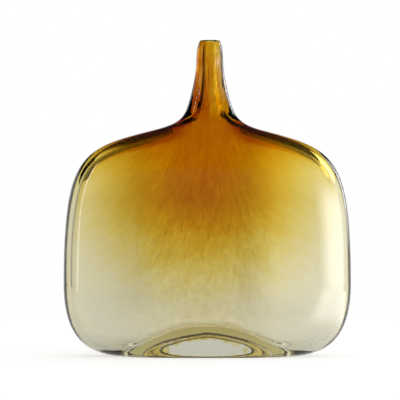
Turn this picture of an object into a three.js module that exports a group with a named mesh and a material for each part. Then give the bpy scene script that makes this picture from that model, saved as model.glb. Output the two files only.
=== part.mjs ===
// Blown glass bottle vase: a flattened pillow body under a slim drawn neck.
// Clear glass is cased over an amber lining that thins out halfway down the body.
// Millimetres, +Z up. The origin is under the middle of the foot, on the surface that the vase stands on.
// X runs along the broad faces, and Y runs through the thin way, front to back.
import * as THREE from "three";

// Overall form
const overallHeight = 340;
const bodyWidth = 310;
const bodyDepth = 104;
const bellyHeight = 77; // where the body is widest
const bodySquareness = 2.6; // superellipse exponent of the body's plan: 2 is an ellipse
const neckSquareness = 2;

// Foot and kick-up, the base pushed up from below
const footWidth = 166;
const footDepth = 88;
const footRingWidth = 6; // ground flat, the only contact with the table
const kickHeight = 27.5;
const kickBowAlong = 1.5; // superellipse exponent of the kick-up's arch along the vase
const kickBowThrough = 14; // and through it, where its front and back are nearly upright

// Floor, which lies over the kick-up as a ridge from front to back, with a pocket at each end
const floorThickness = 6;
const floorWidth = 164; // where the inside turns from the floor up into the walls
const floorDepth = 72;
const ridgeReach = 100; // half length of the ridge
const ridgeTop = 1.25; // flatness of the ridge's top
const ridgeBlend = 7; // rounding between the ridge and the walls

// Shoulder, the long slope between the sides and the neck
const shoulderWidth = 121;
const shoulderDepth = 60;
const shoulderHeight = 243;
const shoulderSlope = THREE.MathUtils.degToRad(14.5);

// Neck and lip
const neckRootWidth = 53;
const neckRootDepth = 39;
const neckRootHeight = 263;
const neckRootLean = THREE.MathUtils.degToRad(24.7); // of its sides, from upright
const neckRadius = 14.7;
const rootBoreWidth = 25.6;
const rootBoreDepth = 20;
const boreRadius = 5.7;
const lipHeight = 25;
const lipInnerRound = 3.8;
const neckOffset = 2.6; // the hand-drawn neck stands a little to one side
const turnBelowShoulder = 1.5; // the plan starts to turn round and aside this far below the shoulder
const turnBelowRoot = 7.3; // and has turned this far below the neck's root

// Walls of the body, both glasses together
const sideWall = 8;
const faceWall = 6;
const shoulderWall = 7;

// Amber lining
const liningNeck = 2.2;
const liningShoulder = 1.6;
const liningEdge = 0.6;
const liningEdgeHeight = 118;

// The base is parted from the body casing this far above the rounding of its ridge
const baseSeamRise = 2;

// Fullness of the curves: how far each handle reaches towards the next point, as a share of the way
const heelReach = 0.42;
const heelRise = 0.94;
const sideRise = 0.834;
const shoulderReach = 0.82;
const shoulderLead = 0.58;
const rootDrop = 0.52;
const rootRise = 0.298;
const neckEase = 0.123;

// Fineness of the facets
const sidesAround = 36;
const curveSteps = [9, 10, 6, 6]; // heel, side, neck root and neck
const lipSteps = 6;
const baseSteps = 9;
const snap = 1e-6; // a stretch of a curve shorter than this share of a step is left out

const lipSeam = overallHeight - lipHeight;
const baseSeam = kickHeight + floorThickness + ridgeBlend + baseSeamRise;

// A station is one level ring of a surface: x is its half width, y its half depth and z its height.
const station = (halfWidth, halfDepth, height) => new THREE.Vector3(halfWidth, halfDepth, height);

// A skin runs up the vase through five stations, as the curves of the heel, side, neck root and neck.
function skinThrough(foot, belly, shoulder, root, neck) {
  const slope = Math.tan(shoulderSlope);
  const lean = Math.tan(neckRootLean);
  const leanDepth = (lean * (root.y - neck.y)) / (root.x - neck.x);
  const away = belly.clone().sub(shoulder).multiplyScalar(shoulderReach);
  away.z = -slope * away.x;
  const lead = away.clone().multiplyScalar((-shoulderLead * (shoulder.x - root.x)) / away.x);
  const drop = station(lean, leanDepth, -1).multiplyScalar(rootDrop * (root.z - shoulder.z));
  const rise = station(-lean, -leanDepth, 1).multiplyScalar(rootRise * (neck.z - root.z));
  const footHandle = foot.clone().lerp(belly, heelReach).setZ(foot.z);
  const bellyLow = belly.clone().setZ(belly.z - heelRise * (belly.z - foot.z));
  const bellyHigh = belly.clone().setZ(belly.z + sideRise * (shoulder.z - belly.z));
  const neckLow = neck.clone().setZ(neck.z - neckEase * (neck.z - root.z));
  return [
    new THREE.CubicBezierCurve3(foot, footHandle, bellyLow, belly),
    new THREE.CubicBezierCurve3(belly, bellyHigh, shoulder.clone().add(away), shoulder),
    new THREE.CubicBezierCurve3(shoulder, shoulder.clone().add(lead), root.clone().add(drop), root),
    new THREE.CubicBezierCurve3(root, root.clone().add(rise), neckLow, neck),
  ];
}

const outerSkin = skinThrough(
  station(footWidth / 2, footDepth / 2, 0),
  station(bodyWidth / 2, bodyDepth / 2, bellyHeight),
  station(shoulderWidth / 2, shoulderDepth / 2, shoulderHeight),
  station(neckRootWidth / 2, neckRootDepth / 2, neckRootHeight),
  station(neckRadius, neckRadius, lipSeam),
);

// A skin inside the outer one, which leaves each wall thinner by the lining that is given for its place.
function skinInside(edgeLining, shoulderLining, neckLining) {
  const slopeWall = shoulderWall - shoulderLining;
  return skinThrough(
    station(floorWidth / 2, floorDepth / 2, floorThickness),
    station(bodyWidth / 2 - sideWall + edgeLining, bodyDepth / 2 - faceWall + edgeLining, bellyHeight),
    station(
      shoulderWidth / 2 - slopeWall * Math.sin(shoulderSlope),
      shoulderDepth / 2 - faceWall + shoulderLining,
      shoulderHeight - slopeWall * Math.cos(shoulderSlope),
    ),
    station(rootBoreWidth / 2 + neckLining, rootBoreDepth / 2 + neckLining, neckRootHeight),
    station(boreRadius + neckLining, boreRadius + neckLining, lipSeam),
  );
}

const cavitySkin = skinInside(0, 0, 0);
const liningBack = skinInside(liningEdge, liningShoulder, liningNeck);

// A place on a skin, counted in curves from its foot.
function pointOn(skin, place) {
  const index = Math.min(Math.floor(place), skin.length - 1);
  return skin[index].getPoint(place - index);
}

// The place where a skin, which only ever rises, reaches a height.
function placeAt(skin, height) {
  let low = 0;
  let high = skin.length;
  for (let halving = 0; halving < 50; halving++) {
    const middle = (low + high) / 2;
    if (pointOn(skin, middle).z < height) low = middle;
    else high = middle;
  }
  return (low + high) / 2;
}

// Stations up a skin from one height to another, with both heights exact so that neighbours meet.
function stationsUp(skin, fromHeight, toHeight) {
  const from = placeAt(skin, fromHeight);
  const to = placeAt(skin, toHeight);
  const stations = [pointOn(skin, from).setZ(fromHeight)];
  skin.forEach((curve, index) => {
    const start = Math.max(from - index, 0);
    const end = Math.min(to - index, 1);
    const steps = Math.ceil((end - start) * curveSteps[index] - snap);
    for (let step = 1; step <= steps; step++) {
      stations.push(curve.getPoint(start + ((end - start) * step) / steps));
    }
  });
  stations.at(-1).setZ(toHeight);
  return stations;
}

const down = (stations) => stations.slice().reverse();

// Stations from a rim to the axis at one height, closer together near the rim.
function stationsInwards(rim) {
  const stations = [rim];
  for (let step = 1; step < baseSteps; step++) {
    const share = Math.cos((Math.PI / 2) * (step / baseSteps));
    stations.push(rim.clone().multiplyScalar(share).setZ(rim.z));
  }
  stations.push(station(0, 0, rim.z));
  return stations;
}

// The plan turns from the squarish body to the round neck between the shoulder and the neck's root.
const turnStart = shoulderHeight - turnBelowShoulder;
const turnEnd = neckRootHeight - turnBelowRoot;
const neckShare = (height) => THREE.MathUtils.smoothstep(height, turnStart, turnEnd);

// One point of a station's ring, on a superellipse about the neck's own line or the body's.
function ringPoint(at, angle) {
  const round = neckShare(at.z);
  const power = 2 / THREE.MathUtils.lerp(bodySquareness, neckSquareness, round);
  const cos = Math.cos(angle);
  const sin = Math.sin(angle);
  return new THREE.Vector3(
    neckOffset * round + at.x * Math.sign(cos) * Math.abs(cos) ** power,
    at.y * Math.sign(sin) * Math.abs(sin) ** power,
    at.z,
  );
}

// The ring of points that a station stands for: one point where it lies on the axis.
function ringOf(at) {
  const ring = [];
  const count = at.x === 0 ? 1 : sidesAround;
  for (let side = 0; side < count; side++) {
    ring.push(ringPoint(at, (2 * Math.PI * side) / sidesAround));
  }
  return ring;
}

const pointAt = (ring, side) => ring[ring.length === 1 ? 0 : side];

// Spreads the points of rings that end on the axis evenly along each way in.
function spreadEvenly(rings) {
  const last = rings.length - 1;
  const spread = rings.map((ring) => ring.slice());
  for (let side = 0; side < sidesAround; side++) {
    const path = new THREE.CurvePath();
    for (let ring = 0; ring < last; ring++) {
      path.add(new THREE.LineCurve3(pointAt(rings[ring], side), pointAt(rings[ring + 1], side)));
    }
    for (let ring = 1; ring < last; ring++) {
      spread[ring][side] = path.getPoint(ring / last);
    }
  }
  return spread;
}

// A closed solid through rings, which either start and end on the axis or close on themselves.
function loft(rings) {
  const positions = [];
  const faces = [];
  const firstOf = rings.map((ring) => {
    const first = positions.length / 3;
    ring.forEach((point) => positions.push(...point.toArray()));
    return first;
  });
  const corner = (ring, side) => firstOf[ring] + (rings[ring].length === 1 ? 0 : side % sidesAround);
  const closesOnItself = rings[0].length > 1;
  const bands = closesOnItself ? rings.length : rings.length - 1;
  for (let band = 0; band < bands; band++) {
    const next = (band + 1) % rings.length;
    const climbs = rings[next][0].z > rings[band][0].z;
    for (let side = 0; side < sidesAround; side++) {
      const near = corner(band, side);
      const nearNext = corner(band, side + 1);
      const far = corner(next, side);
      const farNext = corner(next, side + 1);
      // The diagonal climbs one way on every surface, so that two laid on the same stations share facets.
      const first = climbs ? [near, nearNext, farNext] : [near, nearNext, far];
      const second = climbs ? [near, farNext, far] : [nearNext, farNext, far];
      if (new Set(first).size === 3) faces.push(...first);
      if (new Set(second).size === 3) faces.push(...second);
    }
  }
  const geometry = new THREE.BufferGeometry();
  geometry.setAttribute("position", new THREE.Float32BufferAttribute(positions, 3));
  geometry.setIndex(faces);
  geometry.computeVertexNormals();
  return geometry;
}

const clearGlass = new THREE.MeshStandardMaterial({
  name: "clear_glass",
  color: 0xd6cfa9,
  roughness: 0.05,
  metalness: 0,
  transparent: true,
  opacity: 0.4,
});
const amberGlass = new THREE.MeshStandardMaterial({
  name: "amber_glass",
  color: 0xb06412,
  roughness: 0.05,
  metalness: 0,
  transparent: true,
  opacity: 0.75,
});

const vase = new THREE.Group();

function addPiece(name, rings, material) {
  const piece = new THREE.Mesh(loft(rings), material);
  piece.name = name;
  vase.add(piece);
}

// Base: under the kick-up, across the foot ring, up the heel, then down the inside and over the floor
const footRim = station(footWidth / 2, footDepth / 2, 0);
const kickRim = station(footWidth / 2 - footRingWidth, footDepth / 2 - footRingWidth, 0);
const bow = (share, power) => (1 - Math.min(share, 1) ** power) ** (1 / power);

function raiseKick(ring) {
  for (const point of ring) {
    const along = Math.abs(point.x) / kickRim.x;
    const through = Math.abs(point.y) / (kickRim.y * bow(along, bodySquareness));
    point.z = kickHeight * bow(along, kickBowAlong) * bow(through, kickBowThrough);
  }
  return ring;
}

// The higher of the wall or pocket and the ridge, with a rounding where they meet.
function raiseFloor(ring) {
  for (const point of ring) {
    const reach = Math.min(Math.abs(point.x) / ridgeReach, 1) ** ridgeTop;
    const ridge = floorThickness + (kickHeight * (1 + Math.cos(Math.PI * reach))) / 2;
    const blend = Math.max(ridgeBlend - Math.abs(point.z - ridge), 0);
    point.z = Math.max(point.z, ridge) + blend ** 2 / (4 * ridgeBlend);
  }
  return ring;
}

const floorRim = cavitySkin[0].v0;
const kickRings = [ringOf(kickRim), ...stationsInwards(kickRim).slice(1).map(ringOf).map(raiseKick)];
const floorRings = [
  ...down(stationsUp(cavitySkin, floorRim.z, baseSeam)),
  ...stationsInwards(floorRim).slice(1),
].map(ringOf).map(raiseFloor);
addPiece(
  "kick_up_base",
  [
    ...down(kickRings),
    ...stationsUp(outerSkin, footRim.z, baseSeam).map(ringOf),
    ...spreadEvenly(floorRings),
  ],
  clearGlass,
);

// Body casing: plain glass below the lining's edge, and a pocket for the lining above it
addPiece(
  "body_casing",
  [
    ...stationsUp(outerSkin, baseSeam, neckRootHeight),
    ...down(stationsUp(liningBack, liningEdgeHeight, neckRootHeight)),
    ...down(stationsUp(cavitySkin, baseSeam, liningEdgeHeight)),
  ].map(ringOf),
  clearGlass,
);

// Neck casing: the drawn neck round the lining
addPiece(
  "neck_casing",
  [
    ...stationsUp(outerSkin, neckRootHeight, lipSeam),
    ...down(stationsUp(liningBack, neckRootHeight, lipSeam)),
  ].map(ringOf),
  clearGlass,
);

// Amber lining: one shell from under the lip to its feathered edge, with its back on both casings
addPiece(
  "amber_lining",
  [
    ...stationsUp(liningBack, liningEdgeHeight, neckRootHeight),
    ...stationsUp(liningBack, neckRootHeight, lipSeam).slice(1),
    ...down(stationsUp(cavitySkin, liningEdgeHeight, lipSeam)),
  ].map(ringOf),
  amberGlass,
);

// Lip: the fire-polished end of the neck, rounded outside and in, where both glasses run together
const lipCrown = boreRadius + lipInnerRound;
const quarter = (step) => (Math.PI / 2) * (step / lipSteps);
const lipStations = [];
for (let step = 0; step <= lipSteps; step++) {
  const radius = lipCrown + (neckRadius - lipCrown) * Math.cos(quarter(step));
  lipStations.push(station(radius, radius, lipSeam + lipHeight * Math.sin(quarter(step))));
}
for (let step = 1; step <= lipSteps; step++) {
  const radius = lipCrown - lipInnerRound * Math.sin(quarter(step));
  lipStations.push(station(radius, radius, overallHeight - lipInnerRound * (1 - Math.cos(quarter(step)))));
}
lipStations.push(station(boreRadius, boreRadius, lipSeam));
addPiece("lip", lipStations.map(ringOf), amberGlass);

export default vase;
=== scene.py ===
import math
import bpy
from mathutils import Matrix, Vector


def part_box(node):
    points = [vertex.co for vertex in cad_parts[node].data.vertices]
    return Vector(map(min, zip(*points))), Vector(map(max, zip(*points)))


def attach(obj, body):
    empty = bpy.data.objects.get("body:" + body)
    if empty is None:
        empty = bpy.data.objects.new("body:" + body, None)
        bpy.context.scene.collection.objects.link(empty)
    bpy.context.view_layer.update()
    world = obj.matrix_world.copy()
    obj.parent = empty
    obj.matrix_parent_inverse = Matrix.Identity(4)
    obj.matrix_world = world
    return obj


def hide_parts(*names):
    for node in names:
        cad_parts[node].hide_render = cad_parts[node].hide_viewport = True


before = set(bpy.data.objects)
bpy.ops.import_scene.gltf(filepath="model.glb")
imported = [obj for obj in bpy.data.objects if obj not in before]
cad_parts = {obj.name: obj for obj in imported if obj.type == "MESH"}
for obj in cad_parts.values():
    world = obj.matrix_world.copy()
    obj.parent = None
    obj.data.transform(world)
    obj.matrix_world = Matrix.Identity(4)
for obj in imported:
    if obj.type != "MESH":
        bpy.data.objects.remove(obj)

from types import SimpleNamespace

import bpy
from mathutils import Vector, noise

scene = bpy.context.scene
scene.view_settings.view_transform = "Standard"
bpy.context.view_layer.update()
print("frame loaded:", ", ".join(sorted(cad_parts)))

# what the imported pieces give, in metres
bodyLow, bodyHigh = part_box("body_casing")
neckLow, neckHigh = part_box("neck_casing")
lipLow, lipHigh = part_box("lip")
height = lipHigh.z
lipSeam = lipLow.z
rootHeight = neckLow.z
bodyHalf = ((bodyHigh.x - bodyLow.x) / 2, (bodyHigh.y - bodyLow.y) / 2)
rootHalf = ((neckHigh.x - neckLow.x) / 2, (neckHigh.y - neckLow.y) / 2)
neckRadius = (lipHigh.x - lipLow.x) / 2
neckOffset = (lipHigh.x + lipLow.x) / 2

# the glass wall: one blown bubble, outside and inside, lengths in metres
glassWall = {
    "bellyHeight": 0.077,
    "squareness": 2.6,             # plan of the body, 2 would be an ellipse
    "footHalf": (0.083, 0.044),
    "footRing": 0.006,
    "footEdge": 0.0008,            # how close the ground ring's edge loops lie to its rims
    "kickHeight": 0.0275,
    "kickBow": (1.5, 14.0),        # fullness of the kick-up's arch, along and through the vase
    "floorThick": 0.006,
    "floorHalf": (0.082, 0.036),   # where the inside turns from the floor up into the walls
    "ridgeReach": 0.100,           # half length of the ridge that the kick-up raises in the floor
    "ridgeTop": 1.25,              # flatness of the ridge's top
    "ridgeBlend": 0.007,           # rounding between the ridge and the walls
    "shoulderHalf": (0.0605, 0.030),
    "shoulderHeight": 0.243,
    "shoulderSlope": math.radians(14.5),
    "rootLean": math.radians(24.7),
    "rootBore": (0.0128, 0.0100),  # half sizes of the bore at the neck's root
    "neckTurn": (0.2415, 0.2557),  # heights over which the wall turns round and moves to the neck's axis
    "boreRadius": 0.0057,
    "lipInnerRound": 0.0038,
    "sideWall": 0.008,
    "faceWall": 0.006,
    "shoulderWall": 0.007,
    "heelReach": 0.42,             # fullness of the curves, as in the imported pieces
    "heelRise": 0.94,
    "sideRise": 0.834,
    "shoulderReach": 0.82,
    "shoulderLead": 0.58,
    "rootDrop": 0.52,
    "rootRise": 0.298,
    "neckEase": 0.123,
    "around": 216,
    "heelRings": 44,
    "sideRings": 48,
    "rootRings": 20,
    "neckRings": 30,
    "lipRings": 14,
    "floorRings": 46,
    "outerWave": 0.00025,          # how far the blown surfaces wander
    "innerWave": 0.00045,
    "waveLength": 0.055,
    "waveSeeds": ((0.4, 2.6, 5.2), (3.1, 7.7, 1.9)),
    "waveStart": (0.001, 0.015),   # heights over which the waves set in above the ground foot
    "drawnFrom": (0.244, 0.264),   # heights over which the waves turn into lines drawn along the neck
    "drawnLines": 9.0,             # how close these lines are round the neck
    "drawnLength": 0.060,
    "drawnWave": 0.00016,
    "baseTop": (0.030, 0.055),     # heights over which the base's short waves die out
    "baseLength": 0.014,
    "baseWave": 0.00045,
    "amberEnd": (0.246, 0.262),    # heights over which the amber inside hands over to the neck's shell
}


def mix(a, b, share):
    return a + (b - a) * share


def smooth(low, high, value):
    t = min(max((value - low) / (high - low), 0.0), 1.0)
    return t * t * (3 - 2 * t)


def bezier(points, steps):
    a, b, c, d = (Vector(p) for p in points)
    for step in range(steps + 1):
        t = step / steps
        u = 1 - t
        yield a * u**3 + b * 3 * u * u * t + c * 3 * u * t * t + d * t**3


# a skin is a list of stations (half width, half depth, height) from the foot to the neck's top
def skinStations(foot, belly, shoulder, root, neck):
    w = glassWall
    slope = math.tan(w["shoulderSlope"])
    lean = math.tan(w["rootLean"])
    leanDepth = lean * (root.y - neck.y) / (root.x - neck.x)
    away = (belly - shoulder) * w["shoulderReach"]
    away.z = -slope * away.x
    lead = away * (-w["shoulderLead"] * (shoulder.x - root.x) / away.x)
    drop = Vector((lean, leanDepth, -1)) * w["rootDrop"] * (root.z - shoulder.z)
    rise = Vector((-lean, -leanDepth, 1)) * w["rootRise"] * (neck.z - root.z)
    footHandle = foot.lerp(belly, w["heelReach"])
    footHandle.z = foot.z
    bellyLow = Vector((belly.x, belly.y, mix(belly.z, foot.z, w["heelRise"])))
    bellyHigh = Vector((belly.x, belly.y, mix(belly.z, shoulder.z, w["sideRise"])))
    neckHandle = Vector((neck.x, neck.y, mix(neck.z, root.z, w["neckEase"])))
    curves = (
        ((foot, footHandle, bellyLow, belly), w["heelRings"]),
        ((belly, bellyHigh, shoulder + away, shoulder), w["sideRings"]),
        ((shoulder, shoulder + lead, root + drop, root), w["rootRings"]),
        ((root, root + rise, neckHandle, neck), w["neckRings"]),
    )
    stations = [foot]
    for points, steps in curves:
        stations += list(bezier(points, steps))[1:]
    return stations


def roundStation(radius, level):
    return Vector((radius, radius, level))


# the stations of the outer and the inner skin, from the bottom up to the lip
def outerStations():
    w = glassWall
    return skinStations(
        Vector((*w["footHalf"], 0)),
        Vector((*bodyHalf, w["bellyHeight"])),
        Vector((*w["shoulderHalf"], w["shoulderHeight"])),
        Vector((*rootHalf, rootHeight)),
        roundStation(neckRadius, lipSeam))


def innerStations():
    w = glassWall
    inwards = w["shoulderWall"] * math.sin(w["shoulderSlope"])
    down = w["shoulderWall"] * math.cos(w["shoulderSlope"])
    shoulderX, shoulderY = w["shoulderHalf"]
    return skinStations(
        Vector((*w["floorHalf"], w["floorThick"])),
        Vector((bodyHalf[0] - w["sideWall"], bodyHalf[1] - w["faceWall"], w["bellyHeight"])),
        Vector((shoulderX - inwards, shoulderY - w["faceWall"], w["shoulderHeight"] - down)),
        Vector((*w["rootBore"], rootHeight)),
        roundStation(w["boreRadius"], lipSeam))


# half width and half depth of a skin at one height
def skinAt(stations, level):
    for low, high in zip(stations, stations[1:]):
        if low.z <= level <= high.z:
            return low.lerp(high, (level - low.z) / (high.z - low.z))
    return stations[-1]


# one level ring of the wall: squarish round the body, round at the neck
def ringAt(station):
    w = glassWall
    roundness = smooth(*w["neckTurn"], station.z)
    exponent = mix(w["squareness"], 2, roundness)
    middle = neckOffset * roundness
    ring = []
    for side in range(w["around"]):
        angle = 2 * math.pi * side / w["around"]
        c, s = math.cos(angle), math.sin(angle)
        reach = (abs(c) ** exponent + abs(s) ** exponent) ** (-1 / exponent)
        ring.append(Vector((middle + station.x * reach * c, station.y * reach * s, station.z)))
    return ring


# shares of a rim on the way to its middle, close together where the surface is steep
def sharesInwards():
    steps = glassWall["floorRings"]
    return [math.cos(math.pi / 2 * step / steps) for step in range(1, steps)]


# spreads the points of a run of rings evenly along their way down the wall and in to the middle
def evenOut(rings):
    last = len(rings) - 1
    for side in range(glassWall["around"]):
        way = [ring[side] for ring in rings[:-1]] + [rings[-1][0]]
        reach = [0.0]
        for near, far in zip(way, way[1:]):
            reach.append(reach[-1] + (far - near).length)
        at = 0
        for step in range(1, last):
            goal = reach[-1] * step / last
            while reach[at + 1] < goal:
                at += 1
            share = (goal - reach[at]) / (reach[at + 1] - reach[at])
            rings[step][side] = way[at].lerp(way[at + 1], share)
    return rings


def bow(share, exponent):
    return (1 - min(share, 1.0) ** exponent) ** (1 / exponent)


# the kick-up from its rim to its crown: an arch along the vase, nearly upright in front and behind
def kickRings(rim):
    w = glassWall
    along, through = w["kickBow"]
    rings = [ringAt(rim * share) for share in [1.0] + sharesInwards()]
    for ring in rings[1:]:
        for point in ring:
            u = abs(point.x) / rim.x
            v = abs(point.y) / (rim.y * bow(u, w["squareness"]))
            point.z = w["kickHeight"] * bow(u, along) * bow(v, through)
    rings.append([Vector((0, 0, w["kickHeight"]))])
    return evenOut(rings)[1:]


# the floor lies over the kick-up as a ridge from front to back, with a pocket at each end
def liftFloor(ring):
    w = glassWall
    for point in ring:
        reach = min(abs(point.x) / w["ridgeReach"], 1.0) ** w["ridgeTop"]
        ridge = w["floorThick"] + w["kickHeight"] * (1 + math.cos(math.pi * reach)) / 2
        blend = max(w["ridgeBlend"] - abs(point.z - ridge), 0.0)
        point.z = max(point.z, ridge) + blend * blend / (4 * w["ridgeBlend"])
    return ring


# over the lip: a quarter turn up to its crown, then a smaller one down into the bore
def lipRings():
    w = glassWall
    innerRound = w["lipInnerRound"]
    crown = w["boreRadius"] + innerRound
    turns = [math.pi / 2 * step / w["lipRings"] for step in range(1, w["lipRings"] + 1)]
    rings = []
    for turn in turns:
        radius = crown + (neckRadius - crown) * math.cos(turn)
        rings.append(ringAt(roundStation(radius, mix(lipSeam, height, math.sin(turn)))))
    for turn in turns:
        radius = crown - innerRound * math.sin(turn)
        rings.append(ringAt(roundStation(radius, height - innerRound * (1 - math.cos(turn)))))
    return rings


# every ring in one run: the kick-up, the outside and the lip, then the inside down to the floor's middle
def wallRings():
    w = glassWall
    ringWidth = w["footRing"]
    edge = w["footEdge"]
    footX, footY = w["footHalf"]
    ringInner = Vector((footX - ringWidth, footY - ringWidth, 0))
    kick = kickRings(ringInner)[::-1]
    footFlat = [ringAt(ringInner + roundStation(x, 0)) for x in (edge, ringWidth / 2, ringWidth - edge)]
    outside = footFlat + [ringAt(station) for station in outerStations()] + lipRings()
    inner = innerStations()
    heel = w["heelRings"]
    above = [ringAt(station) for station in inner[:heel:-1]]
    below = [liftFloor(ringAt(station)) for station in inner[heel::-1]]
    floorX, floorY = w["floorHalf"]
    for share in sharesInwards():
        below.append(liftFloor(ringAt(Vector((floorX * share, floorY * share, w["floorThick"])))))
    below.append(liftFloor([Vector((0, 0, w["floorThick"]))]))
    return kick, outside, above + evenOut(below)


# skins a run of rings; a ring of one point is a pole, and a closed run joins its last ring to its first
def meshFromRings(name, rings, closed=False):
    around = glassWall["around"]
    points, faces, firsts = [], [], []
    for ring in rings:
        firsts.append(len(points))
        points += ring
    pairs = list(zip(range(len(rings)), range(1, len(rings))))
    if closed:
        pairs.append((len(rings) - 1, 0))
    for low, high in pairs:
        near, far = firsts[low], firsts[high]
        for side in range(around):
            after = (side + 1) % around
            if len(rings[low]) == 1:
                faces.append((near, far + after, far + side))
            elif len(rings[high]) == 1:
                faces.append((near + side, near + after, far))
            else:
                faces.append((near + side, near + after, far + after, far + side))
    mesh = bpy.data.meshes.new(name)
    mesh.from_pydata(points, [], faces)
    mesh.update()
    return mesh


def addPiece(mesh, material):
    mesh.polygons.foreach_set("use_smooth", [True] * len(mesh.polygons))
    mesh.materials.append(material)
    piece = bpy.data.objects.new(mesh.name, mesh)
    scene.collection.objects.link(piece)
    return piece


def setShares(mesh, name, shares):
    mesh.attributes.new(name, "FLOAT", "POINT").data.foreach_set("value", shares)


# blown glass is never quite true: both surfaces wander slowly, the inner one more
def wander(mesh, outerFirst, innerFirst):
    w = glassWall
    outerSeed, innerSeed = (Vector(seed) for seed in w["waveSeeds"])
    normals = [vertex.normal.copy() for vertex in mesh.vertices]
    for vertex, normal in zip(mesh.vertices, normals):
        isInner = vertex.index >= innerFirst
        seed = innerSeed if isInner else outerSeed
        reach = w["innerWave"] if isInner else w["outerWave"]
        wave = noise.noise(vertex.co / w["waveLength"] + seed) * reach
        around = Vector((vertex.co.x - neckOffset, vertex.co.y, 0)).normalized() * w["drawnLines"]
        around.z = vertex.co.z / w["drawnLength"]
        lines = noise.noise(around + seed) * w["drawnWave"]
        if vertex.index < outerFirst or isInner:
            ripple = noise.noise(vertex.co / w["baseLength"] + seed) * w["baseWave"]
            wave += ripple * (1 - smooth(*w["baseTop"], vertex.co.z))
        sway = mix(wave, lines, smooth(*w["drawnFrom"], vertex.co.z))
        vertex.co += normal * sway * smooth(*w["waveStart"], vertex.co.z)
    mesh.update()


# the kick-up is clear in the middle, seen from the front, with an ochre edge that wanders: a painted
# reflection that stands in for the amber body mirrored in the heel's glass
kickPaintedReflection = {
    "middle": (-0.001, 0.0115),
    "half": (0.049, 0.0095),
    "edge": (0.95, 1.04),
    "wander": 0.42,
    "waveLength": 0.0075,
    # strength of the painted ochre reflection
    "reflectedOchre": 5.0,
}


# how much of the painted ochre reflection a point of the kick-up carries
def paintedKickReflection(place):
    k = kickPaintedReflection
    across = (place.x - k["middle"][0]) / k["half"][0]
    up = (place.z - k["middle"][1]) / k["half"][1]
    away = math.hypot(across, up) + k["wander"] * noise.noise(place / k["waveLength"])
    return k["reflectedOchre"] * smooth(*k["edge"], away)


# the casing is amber too along the crest of the shoulders, at the neck's root
crestTint = {
    "amber": 1.8,
    "from": (0.150, 0.205),        # heights over which it sets in
    "to": (0.258, 0.280),          # and ends
    "sides": (0.008, 0.018),       # distance from the neck's axis
    "faces": (0.35, 0.75),         # forward part of the surface's direction, over which the crest ends
}


def crestShare(vertex):
    c = crestTint
    level = smooth(*c["from"], vertex.co.z) - smooth(*c["to"], vertex.co.z)
    sides = smooth(*c["sides"], abs(vertex.co.x - neckOffset))
    return c["amber"] * level * sides * (1 - smooth(*c["faces"], abs(vertex.normal.y)))


def buildWall(material):
    w = glassWall
    kick, outside, inside = wallRings()
    outerFirst = sum(len(ring) for ring in kick)
    innerFirst = outerFirst + sum(len(ring) for ring in outside)
    lipFirst = innerFirst - 2 * w["lipRings"] * w["around"]
    mesh = meshFromRings("vase_glass", kick + outside + inside)
    wander(mesh, outerFirst, innerFirst)
    amber, straw = [], []
    for vertex in mesh.vertices:
        # the kick-up carries its painted ochre reflection as amber
        if vertex.index < outerFirst:
            amber.append(paintedKickReflection(vertex.co))
            straw.append(0.0)
        elif vertex.index < innerFirst:
            amber.append(crestShare(vertex))
            straw.append(1 - smooth(lipFirst, innerFirst, vertex.index))
        else:
            amber.append(1 - smooth(*w["amberEnd"], vertex.co.z))
            straw.append(0.0)
    setShares(mesh, "amber_share", amber)
    setShares(mesh, "straw_share", straw)
    return addPiece(mesh, material)


# the neck's amber: a closed shell from just behind the inner skin some way out into the wall
amberShell = {
    "lowest": 0.243,
    "top": 0.3376,
    "topRings": 7,
    "near": 0.0006,                # depth behind the inner skin, in metres
    "far": 0.52,                   # and how far out into the wall, as a share of it
}


def buildShell(material):
    a = amberShell
    outer = outerStations()
    stations = [station for station in innerStations() if station.z > a["lowest"]]
    for step in range(1, a["topRings"] + 1):
        stations.append(roundStation(glassWall["boreRadius"], mix(lipSeam, a["top"], step / a["topRings"])))
    near, far = [], []
    for station in stations:
        wall = skinAt(outer, station.z) - station
        near.append(ringAt(station + roundStation(a["near"], 0)))
        far.append(ringAt(station + Vector((wall.x, wall.y, 0)) * a["far"]))
    mesh = meshFromRings("amber_shell", far + near[::-1], closed=True)
    farCount = len(far) * glassWall["around"]
    shares = []
    for vertex in mesh.vertices:
        shares.append(smooth(*glassWall["amberEnd"], vertex.co.z) if vertex.index < farCount else 0.0)
    setShares(mesh, "amber_share", shares)
    return addPiece(mesh, material)


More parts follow.
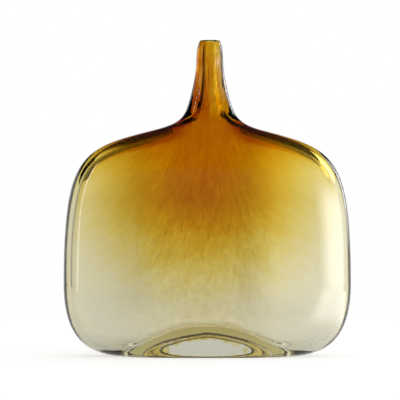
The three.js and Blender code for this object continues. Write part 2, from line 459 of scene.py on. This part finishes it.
# shorthands for the nodes of one tree
def nodeKit(tree):
    # a node with its settings, and its inputs by name or number, each a value or another node's output
    def new(kind, inputs=None, **settings):
        node = tree.nodes.new(kind)
        for name, value in settings.items():
            setattr(node, name, value)
        for name, value in (inputs or {}).items():
            if isinstance(value, (int, float, tuple)):
                node.inputs[name].default_value = value
            else:
                tree.links.new(value, node.inputs[name])
        return node

    def calc(operation, first, second=0.0):
        return new("ShaderNodeMath", {0: first, 1: second}, operation=operation).outputs[0]

    def times(first, *others):
        for other in others:
            first = calc("MULTIPLY", first, other)
        return first

    def blend(factor, first, second):
        return new("ShaderNodeMix", {0: factor, 2: first, 3: second}).outputs[0]

    def fade(value, between, fromLevel, toLevel):
        node = new("ShaderNodeMapRange", {
            "Value": value,
            "From Min": between[0],
            "From Max": between[1],
            "To Min": fromLevel,
            "To Max": toLevel,
        }, interpolation_type="SMOOTHSTEP")
        return node.outputs["Result"]

    def ramp(value, stops, reach):  # a colour by height or distance
        node = new("ShaderNodeValToRGB", {"Fac": calc("DIVIDE", value, reach)})
        elements = node.color_ramp.elements
        while len(elements) < len(stops):
            elements.new(0.5)
        for element, (place, colour) in zip(elements, stops):
            element.position = place / reach
            element.color = (*colour, 1)
        return node.outputs["Color"]

    def curve(value, stops, reach):  # a plain number by height or distance
        return ramp(value, [(place, (level, level, level)) for place, level in stops], reach)

    def scale(colour, factor):
        return new("ShaderNodeVectorMath", {0: colour, "Scale": factor}, operation="SCALE").outputs[0]

    def overlay(first, second):  # one tint seen through another
        return new("ShaderNodeVectorMath", {0: first, 1: second}, operation="MULTIPLY").outputs[0]

    def power(colour, exponent):
        return new("ShaderNodeGamma", {"Color": colour, "Gamma": exponent}).outputs["Color"]

    def split(vector):
        return new("ShaderNodeSeparateXYZ", {0: vector}).outputs

    return SimpleNamespace(new=new, calc=calc, times=times, blend=blend, fade=fade, ramp=ramp, curve=curve,
                           scale=scale, overlay=overlay, power=power, split=split)


def newMaterial(name):
    material = bpy.data.materials.new(name)
    material.use_nodes = True
    material.node_tree.nodes.clear()
    return material, nodeKit(material.node_tree)


# the amber: deepest under the neck, it thins out sideways and downwards in feathers
amberLook = {
    "colour": (0.935, 0.807, 0.368),  # what one unit of depth lets through
    "depth": 8.3,
    "heart": -0.006,                  # x of the deepest amber
    "width": 0.060,                   # how far it reaches sideways
    "fall": (                         # share of the depth, by height
        (0.030, 0.05), (0.056, 0.06), (0.078, 0.12), (0.097, 0.22),
        (0.126, 0.43), (0.145, 0.69), (0.165, 0.90), (0.190, 1.00),
    ),
    "shoulder": 0.7,                  # how much deeper it is on the sloping shoulders' ends
    "slopes": (0.10, 0.60),           # upward part of the surface's direction there
    "neckFall": ((0.262, 0.90), (0.300, 0.81), (0.332, 0.52)),
    "neckFrom": (0.246, 0.272),       # heights over which the neck's own depth takes over
    "neckSides": (1.45, 0.75),        # how deep the amber is in the neck's left and right flanks
    "neckFlanks": (-0.75, 0.75),      # where these are, in half widths of the neck
    "neckLines": 7.0,                 # how much stronger the feathers are there, where they run as lines
    "featherTop": 0.275,              # where the feathers part
    "featherWidth": 0.0125,           # half width of their bundle in the neck
    "featherSpread": 0.55,            # and how it widens below
    "feathers": (                     # broad to fine, and how far each shifts, deepens and shades the amber
        {"size": (3.0, 14.0, 26.0), "detail": 4.0, "rough": 0.55, "warp": 1.4,
         "lift": 0.020, "gain": 0.20, "tone": 0.10},
        {"size": (11.0, 30.0, 45.0), "detail": 3.0, "rough": 0.60, "warp": 2.2,
         "lift": 0.006, "gain": 0.12, "tone": 0.17},
        {"size": (18.0, 60.0, 42.0), "detail": 3.0, "rough": 0.65, "warp": 2.6,
         "lift": 0.002, "gain": 0.06, "tone": 0.30},
    ),
    "toneShares": (-0.40, 0.40),      # shares of the depth over which their shading sets in
    "toneSides": (0.8, 1.5),          # and where it ends sideways, in widths of the amber
}


# the amber's tint over the wall and the shell: Share is how much of it a point carries
def amberGroup():
    a = amberLook
    group = bpy.data.node_groups.new("amber_tint", "ShaderNodeTree")
    group.interface.new_socket("Share", in_out="INPUT", socket_type="NodeSocketFloat")
    group.interface.new_socket("Tint", in_out="OUTPUT", socket_type="NodeSocketColor")
    kit = nodeKit(group)
    calc, times, blend, fade = kit.calc, kit.times, kit.blend, kit.fade
    carried = kit.new("NodeGroupInput").outputs["Share"]
    x, y, z = kit.split(kit.new("ShaderNodeTexCoord").outputs["Object"])

    # feathers part under the neck and spread downwards
    drop = times(calc("MAXIMUM", calc("SUBTRACT", a["featherTop"], z), 0.0), a["featherSpread"])
    spread = calc("SQRT", calc("ADD", times(drop, drop), a["featherWidth"] ** 2))
    across = calc("DIVIDE", calc("SUBTRACT", x, neckOffset), spread)
    gain, level, tone = 1.0, z, 1.0
    for feather in a["feathers"]:
        sized = [times(value, size) for value, size in zip((across, y, z), feather["size"])]
        wisps = kit.new("ShaderNodeTexNoise", {
            "Vector": kit.new("ShaderNodeCombineXYZ", dict(enumerate(sized))).outputs[0],
            "Scale": 1.0,
            "Detail": feather["detail"],
            "Roughness": feather["rough"],
            "Distortion": feather["warp"],
        })
        sway = times(calc("SUBTRACT", wisps.outputs["Fac"], 0.5), 2.0)
        gain = calc("ADD", gain, times(sway, feather["gain"]))
        level = calc("ADD", level, times(sway, feather["lift"]))
        tone = calc("SUBTRACT", tone, times(sway, feather["tone"]))

    inNeck = fade(z, a["neckFrom"], 0.0, 1.0)
    lines = calc("ADD", times(gain, a["neckLines"]), 1.0 - a["neckLines"])
    gain = calc("MAXIMUM", blend(inNeck, gain, lines), 0.0)

    # sideways as a bell, downwards by height, and deeper where the shoulders' ends slope
    off = calc("DIVIDE", calc("SUBTRACT", x, a["heart"]), a["width"])
    bell = calc("EXPONENT", times(off, off, -0.5))
    facing = kit.split(kit.new("ShaderNodeNewGeometry").outputs["Normal"])
    sloping = fade(calc("ABSOLUTE", facing["Z"]), a["slopes"], 0.0, a["shoulder"])
    ends = calc("ADD", times(calc("SUBTRACT", 1.0, bell), sloping), 1.0)
    body = times(kit.curve(level, a["fall"], height), bell, ends)
    neck = times(kit.curve(z, a["neckFall"], height), fade(across, a["neckFlanks"], *a["neckSides"]))
    share = blend(inNeck, body, neck)

    # the colour to the power of its depth, with the feathers' shading in the middle
    inMiddle = fade(calc("ABSOLUTE", off), a["toneSides"], 1.0, 0.0)
    tone = blend(times(fade(share, a["toneShares"], 0.0, 1.0), inMiddle), 1.0, tone)
    tint = kit.power((*a["colour"], 1), times(share, gain, a["depth"], carried))
    kit.new("NodeGroupOutput", {"Tint": kit.scale(tint, calc("POWER", tone, carried))})
    return group


# the clear glass: fire-polished, straw tinted in the body, with a ground foot
glassLook = {
    "casing": (                       # tint by height
        (0.018, (0.66, 0.67, 0.68)),
        (0.032, (0.66, 0.64, 0.58)),
        (0.080, (0.71, 0.69, 0.59)),
        (0.170, (0.72, 0.70, 0.59)),
        (0.210, (0.83, 0.82, 0.76)),
    ),
    "paintedLightAcross": (                        # how much light gets through, by distance from the body's left end: painted light and shade, lighter on the right where the right softbox's highlight lies and at the left end, darker in the middle
        (0.03, 1.09), (0.08, 0.92), (0.10, 1.00), (0.18, 1.01), (0.20, 0.96), (0.23, 1.27),
    ),
    "paintedLightTop": 1.3,                   # a ramp holds at most 1, so the painted light levels are stored as shares of this
    "paintedLightFrom": (0.040, 0.070),       # heights over which this painted light and shade sets in
    "toneLow": 0.3,                   # and how much of them is left below
    "ior": 1.5,
    "absorbColour": (0.69, 0.61, 0.05),
    "absorbDensity": 18.5,
    "footRough": 0.30,
    "footTop": 0.0003,                # height up to which the foot is ground
}


# how much of a tint each point carries
def pointShare(kit, name):
    return kit.new("ShaderNodeAttribute", attribute_name=name).outputs["Fac"]


def amberOn(kit, amberTint):
    amber = kit.new("ShaderNodeGroup", {"Share": pointShare(kit, "amber_share")}, node_tree=amberTint)
    return amber.outputs["Tint"]


# glass that lamps shine through
def letLampsThrough(kit, glass, colour):
    clear = kit.new("ShaderNodeBsdfTransparent", {"Color": colour})
    toLamp = kit.new("ShaderNodeLightPath").outputs["Is Shadow Ray"]
    return kit.new("ShaderNodeMixShader", {0: toLamp, 1: glass.outputs[0], 2: clear.outputs[0]}).outputs[0]


def glassMaterial(amberTint):
    g = glassLook
    material, kit = newMaterial("straw_to_clear_glass")
    x, y, z = kit.split(kit.new("ShaderNodeTexCoord").outputs["Object"])
    # painted light and shade across the body, by distance from its left end, multiplied into the straw tint
    stops = [(place, level / g["paintedLightTop"]) for place, level in g["paintedLightAcross"]]
    fromLeft = kit.calc("ADD", x, bodyHalf[0])
    tone = kit.times(kit.curve(fromLeft, stops, 2 * bodyHalf[0]), g["paintedLightTop"])
    tone = kit.blend(kit.fade(z, g["paintedLightFrom"], g["toneLow"], 1.0), 1.0, tone)
    casing = kit.scale(kit.ramp(z, g["casing"], height), tone)
    straw = kit.power(casing, pointShare(kit, "straw_share"))
    colour = kit.overlay(straw, amberOn(kit, amberTint))
    glass = kit.new("ShaderNodeBsdfPrincipled", {
        "Base Color": colour,
        "Roughness": kit.fade(z, (g["footTop"], 0.0), 0.0, g["footRough"]),
        "IOR": g["ior"],
        "Transmission Weight": 1.0,
    })
    inside = kit.new("ShaderNodeVolumeAbsorption", {
        "Color": (*g["absorbColour"], 1),
        "Density": g["absorbDensity"],
    })
    kit.new("ShaderNodeOutputMaterial", {
        "Surface": letLampsThrough(kit, glass, colour),
        "Volume": inside.outputs[0],
    })
    return material


# the shell is amber inside glass of the same index, so light goes straight through it
def shellMaterial(amberTint):
    material, kit = newMaterial("amber_glass")
    colour = amberOn(kit, amberTint)
    glass = kit.new("ShaderNodeBsdfPrincipled", {
        "Base Color": colour,
        "Roughness": 0.0,
        "IOR": 1.0,
        "Transmission Weight": 1.0,
    })
    kit.new("ShaderNodeOutputMaterial", {"Surface": letLampsThrough(kit, glass, colour)})
    return material


# the studio: a pale floor that keeps the shadow, a white surround, and soft lamps on both sides;
# for what the glass mirrors and bends, the surround is dark overhead, and in front on the left
studio = {
    "floorHalf": 1.1,
    "floorFade": (0.35, 1.0),      # how far from the vase the floor turns into the surround
    "floorAlbedo": 0.5,
    "floorGlow": 0.60,
    "surround": 0.75,              # how much the surround lights the floor
    "skyDark": (0.26, 0.34),       # direction z over which the surround turns dark overhead
    "skyLeft": (-0.48, -0.28),     # direction x over which that dark sets in
    "skyRight": (0.60, 0.85),      # and over which it ends
    "darkLevel": 0.03,             # what is left of the white there
    "darkTurn": (0.5, 0.87),       # x and y of the direction away from the dark in front
    "frontLevel": 0.08,            # what is left of the white in front
    "behind": (-0.2, 0.3),         # how far along darkTurn mirrored rays change from dark to white
    "frontFloor": (-0.6, 0.1),     # the same for the floor, in metres
    "pool": {                      # the right lamp's light on the floor, as the vase mirrors it
        "level": 5.0,
        "near": (0.15, 0.30),      # x over which it sets in
        "start": (-1.20, -0.70),   # y for each metre of x over which it sets in
        "end": (0.05, 0.35),       # and over which it ends
    },
    "cards": (                     # beside the neck, seen only through its glass
        {"name": "dark_card", "azimuth": -51, "away": 0.35, "height": 0.315,
         "half": (0.075, 0.075), "glow": 0.0},
        {"name": "light_card", "azimuth": 55, "away": 0.35, "height": 0.332,
         "half": (0.090, 0.070), "glow": 1.9},
    ),
    "lamps": (                     # soft is the share of each half size over which the light fades out
        {"name": "right_softbox", "azimuth": 70, "elevation": 1, "away": 1.3,
         "size": (1.5, 0.8), "soft": (0.7, 0.80), "radiance": 7.0},
        {"name": "right_strip", "azimuth": 130, "elevation": 15, "away": 1.3,
         "size": (0.45, 0.9), "soft": (0.8, 0.6), "radiance": 5.0},
        {"name": "left_strip", "azimuth": -70, "elevation": 10, "away": 1.3,
         "size": (0.14, 1.5), "soft": (0.9, 0.6), "radiance": 5.0},
    ),
}


# how far a place or direction is from the dark in front
def awayFromDark(kit, x, y):
    turnX, turnY = studio["darkTurn"]
    return kit.calc("ADD", kit.times(x, turnX), kit.times(y, turnY))


# the floor's own white for rays that show it, and for mirrored rays the pool of light as well
def floorMaterial():
    s = studio
    pool = s["pool"]
    material, kit = newMaterial("pale_floor")
    calc, times, fade = kit.calc, kit.times, kit.fade
    place = kit.new("ShaderNodeTexCoord").outputs["Object"]
    x, y, z = kit.split(place)
    away = kit.new("ShaderNodeVectorMath", {0: place}, operation="LENGTH").outputs["Value"]
    rays = kit.new("ShaderNodeLightPath").outputs
    shown = rays["Is Camera Ray"]
    for ray in ("Is Glossy Ray", "Is Transmission Ray"):
        shown = calc("MAXIMUM", shown, rays[ray])
    turnedBack = calc("MINIMUM", rays["Glossy Depth"], 1.0)
    onlyMirrored = calc("SUBTRACT", rays["Is Glossy Ray"], rays["Is Transmission Ray"])
    front = fade(awayFromDark(kit, x, y), s["frontFloor"], s["frontLevel"], 1.0)
    white = times(fade(away, s["floorFade"], s["floorGlow"], 1.0), kit.blend(turnedBack, 1.0, front))
    turn = calc("DIVIDE", y, x)
    lit = times(fade(x, pool["near"], 0.0, pool["level"]),
                fade(turn, pool["start"], 0.0, 1.0),
                fade(turn, pool["end"], 1.0, 0.0))
    glow = kit.new("ShaderNodeEmission", {
        "Strength": calc("ADD", times(shown, white), times(onlyMirrored, lit)),
    })
    paper = kit.new("ShaderNodeBsdfDiffuse", {"Color": fade(away, s["floorFade"], s["floorAlbedo"], 0.0)})
    both = kit.new("ShaderNodeAddShader", {0: paper.outputs[0], 1: glow.outputs[0]})
    kit.new("ShaderNodeOutputMaterial", {"Surface": both.outputs[0]})
    return material


# a flat sheet of the studio, which isn't part of the vase
def addSheet(name, material, middle, along, up):
    corners = [middle - along - up, middle + along - up, middle + along + up, middle - along + up]
    mesh = bpy.data.meshes.new(name)
    mesh.from_pydata(corners, [], [(0, 1, 2, 3)])
    mesh.materials.append(material)
    sheet = bpy.data.objects.new(name, mesh)
    scene.collection.objects.link(sheet)
    return sheet


def buildFloor():
    half = studio["floorHalf"]
    addSheet("studio_floor", floorMaterial(), Vector((0, 0, 0)), Vector((half, 0, 0)), Vector((0, half, 0)))


# a card that only shows through the glass, as a line along the neck's bore
def buildCard(card):
    material, kit = newMaterial(card["name"])
    glow = kit.new("ShaderNodeEmission", {"Strength": card["glow"]})
    kit.new("ShaderNodeOutputMaterial", {"Surface": glow.outputs[0]})
    turn = math.radians(card["azimuth"])
    outwards = Vector((math.sin(turn), math.cos(turn), 0))
    middle = outwards * card["away"] + Vector((neckOffset, 0, card["height"]))
    along = Vector((outwards.y, -outwards.x, 0)) * card["half"][0]
    sheet = addSheet(card["name"], material, middle, along, Vector((0, 0, card["half"][1])))
    sheet.visible_camera = False
    sheet.visible_diffuse = False
    sheet.visible_glossy = False
    sheet.visible_shadow = False


def buildSurround():
    s = studio
    scene.world = bpy.data.worlds.new("studio")
    scene.world.use_nodes = True
    scene.world.node_tree.nodes.clear()
    kit = nodeKit(scene.world.node_tree)
    calc, times, blend, fade = kit.calc, kit.times, kit.blend, kit.fade
    x, y, z = kit.split(kit.new("ShaderNodeTexCoord").outputs["Generated"])
    rays = kit.new("ShaderNodeLightPath").outputs
    dark = fade(z, s["skyDark"], 0.0, 1.0 - s["darkLevel"])
    between = times(fade(x, s["skyLeft"], 0.0, 1.0), fade(x, s["skyRight"], 1.0, 0.0))
    behind = fade(awayFromDark(kit, x, y), s["behind"], s["frontLevel"], 1.0)
    turnedBack = calc("MINIMUM", rays["Glossy Depth"], 1.0)
    mirrored = times(behind, calc("SUBTRACT", 1.0, dark))
    through = times(calc("SUBTRACT", 1.0, times(dark, between)), blend(turnedBack, 1.0, behind))
    level = blend(rays["Is Glossy Ray"], s["surround"], mirrored)
    level = blend(rays["Is Transmission Ray"], level, through)  # these count as glossy too
    level = blend(rays["Is Camera Ray"], level, 1.0)
    white = kit.new("ShaderNodeBackground", {"Color": (1, 1, 1, 1), "Strength": level})
    kit.new("ShaderNodeOutputWorld", {"Surface": white.outputs[0]})


# lets a lamp's light fade out towards its edges, over shares of its half size
def softenEdges(lamp, soft):
    lamp.use_nodes = True
    lamp.node_tree.nodes.clear()
    kit = nodeKit(lamp.node_tree)
    level = 1.0
    for place, reach in zip(kit.split(kit.new("ShaderNodeNewGeometry").outputs["Parametric"]), soft):
        toEdge = kit.calc("MINIMUM", place, kit.calc("SUBTRACT", 1.0, place))
        level = kit.times(level, kit.fade(toEdge, (0.0, reach / 2), 0.0, 1.0))
    glow = kit.new("ShaderNodeEmission", {"Strength": level})
    kit.new("ShaderNodeOutputLight", {"Surface": glow.outputs[0]})


def buildLamp(box):
    width, tall = box["size"]
    lamp = bpy.data.lights.new(box["name"], "AREA")
    lamp.shape = "RECTANGLE"
    lamp.size = width
    lamp.size_y = tall
    lamp.energy = box["radiance"] * math.pi * width * tall
    softenEdges(lamp, box["soft"])
    turn = math.radians(box["azimuth"])
    lift = math.radians(box["elevation"])
    level = math.cos(lift)
    towards = Vector((math.sin(turn) * level, -math.cos(turn) * level, math.sin(lift)))
    holder = bpy.data.objects.new(box["name"], lamp)
    holder.location = Vector((0, 0, height / 2)) + towards * box["away"]
    holder.rotation_euler = towards.to_track_quat("Z", "Y").to_euler()
    holder.visible_camera = False
    holder.visible_transmission = False
    scene.collection.objects.link(holder)


# the camera: level and far off, framed as the photograph, which is taken to be 400 by 400 pixels
cameraView = {
    "imageSize": 400,
    "pixel": 0.001078,             # metres for each pixel, in the vase's middle plane
    "footRow": 355.8,
    "middleColumn": 207.3,
    "away": 3.0,
    "sensor": 36.0,
}


def buildCamera():
    c = cameraView
    pixel = c["pixel"]
    half = c["imageSize"] / 2
    camera = bpy.data.cameras.new("view_camera")
    camera.sensor_width = c["sensor"]
    camera.lens = c["sensor"] * c["away"] / (pixel * c["imageSize"])
    holder = bpy.data.objects.new("view_camera", camera)
    holder.location = ((half - c["middleColumn"]) * pixel, -c["away"], (c["footRow"] - half) * pixel)
    holder.rotation_euler = (math.radians(90), 0, 0)
    scene.collection.objects.link(holder)
    scene.camera = holder


buildCamera()
print("camera set")
amberTint = amberGroup()
vaseGlass = buildWall(glassMaterial(amberTint))
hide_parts("kick_up_base", "body_casing", "neck_casing", "lip")
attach(vaseGlass, "root")
print("glass wall:", len(vaseGlass.data.polygons), "faces")
neckAmber = buildShell(shellMaterial(amberTint))
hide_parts("amber_lining")
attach(neckAmber, "root")
print("amber shell:", len(neckAmber.data.polygons), "faces")
buildFloor()
for card in studio["cards"]:
    buildCard(card)
buildSurround()
for box in studio["lamps"]:
    buildLamp(box)
print("studio lit")
